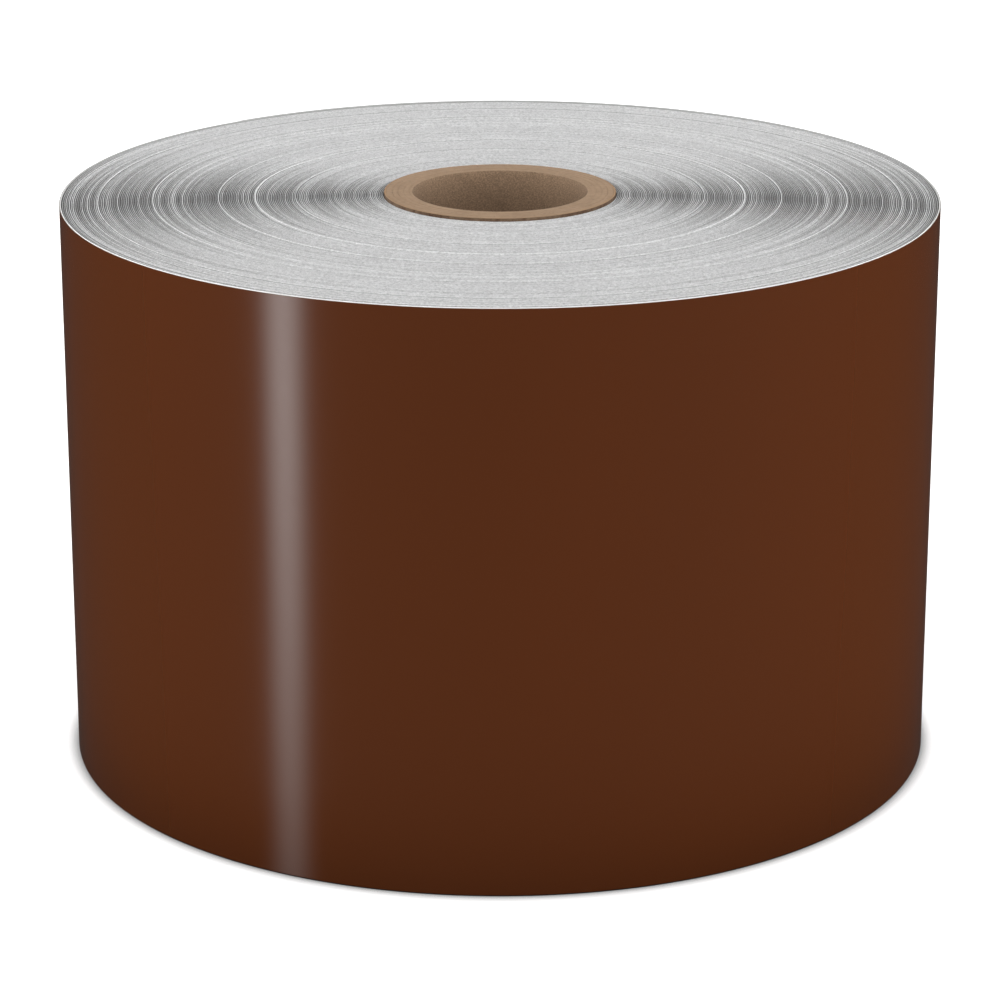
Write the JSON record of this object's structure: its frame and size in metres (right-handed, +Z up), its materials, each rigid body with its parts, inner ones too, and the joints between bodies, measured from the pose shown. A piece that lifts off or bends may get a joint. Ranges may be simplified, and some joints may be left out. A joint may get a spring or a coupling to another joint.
{
  "type": "adhesive tape roll",
  "caption": "Wide roll of glossy brown film tape with a paper liner, wound on a kraft core; the free end peels up behind a small closure tab.",
  "frame": {"origin": "on the roll's axis, in the plane the roll stands on", "axes": "+Z up along the roll's axis; the pictured front faces -Y and the free end of the web is at the rear left"},
  "size_m": [0.127, 0.127, 0.083],
  "materials": {
    "kraft_board": "cut edge of brown spiral-wound board, matte",
    "bore_board": "darker brown inner ply with faint creases, matte",
    "transfer_tape": "double-sided transfer tape, satin",
    "web_edges": "slit edges of white paper liner with fine brown film lines, matte",
    "brown_film": "dark brown film with a smooth gloss",
    "adhesive": "thin clear-grey pressure-sensitive adhesive",
    "liner_paper": "white silicone-coated release paper, satin",
    "tab_paper": "off-white paper closure tab, matte"
  },
  "bodies": {
    "roll": {"core_inner_ply": "bore_board", "core_body_ply_1": "kraft_board", "core_body_ply_2": "kraft_board", "core_body_ply_3": "kraft_board", "core_body_ply_4": "kraft_board", "core_outer_ply": "kraft_board", "core_tack_strip": "transfer_tape", "wound_web_1": "web_edges", "wound_web_2": "web_edges", "wound_web_3": "web_edges", "wound_web_4": "web_edges", "wound_web_5": "web_edges", "wound_web_6": "web_edges", "last_turn_face_film": "brown_film", "last_turn_adhesive": "adhesive", "last_turn_release_liner": "liner_paper"},
    "tail": {"tail_face_film": "brown_film", "tail_adhesive": "adhesive", "tail_release_liner": "liner_paper", "tab_anchor_half": "tab_paper"},
    "tab": {"tab_pull_half": "tab_paper"}
  },
  "joints": [
    {"name": "tail_peel", "type": "hinge", "parent": "roll", "child": "tail", "pos_m": [-0.02172, 0.05967, 0.04135], "axis": [0, 0, -1], "range_deg": [0, 75]},
    {"name": "tab_peel", "type": "hinge", "parent": "tail", "child": "tab", "pos_m": [-0.04087, 0.04871, 0.0414], "axis": [0, 0, -1], "range_deg": [0, 120]}
  ]
}
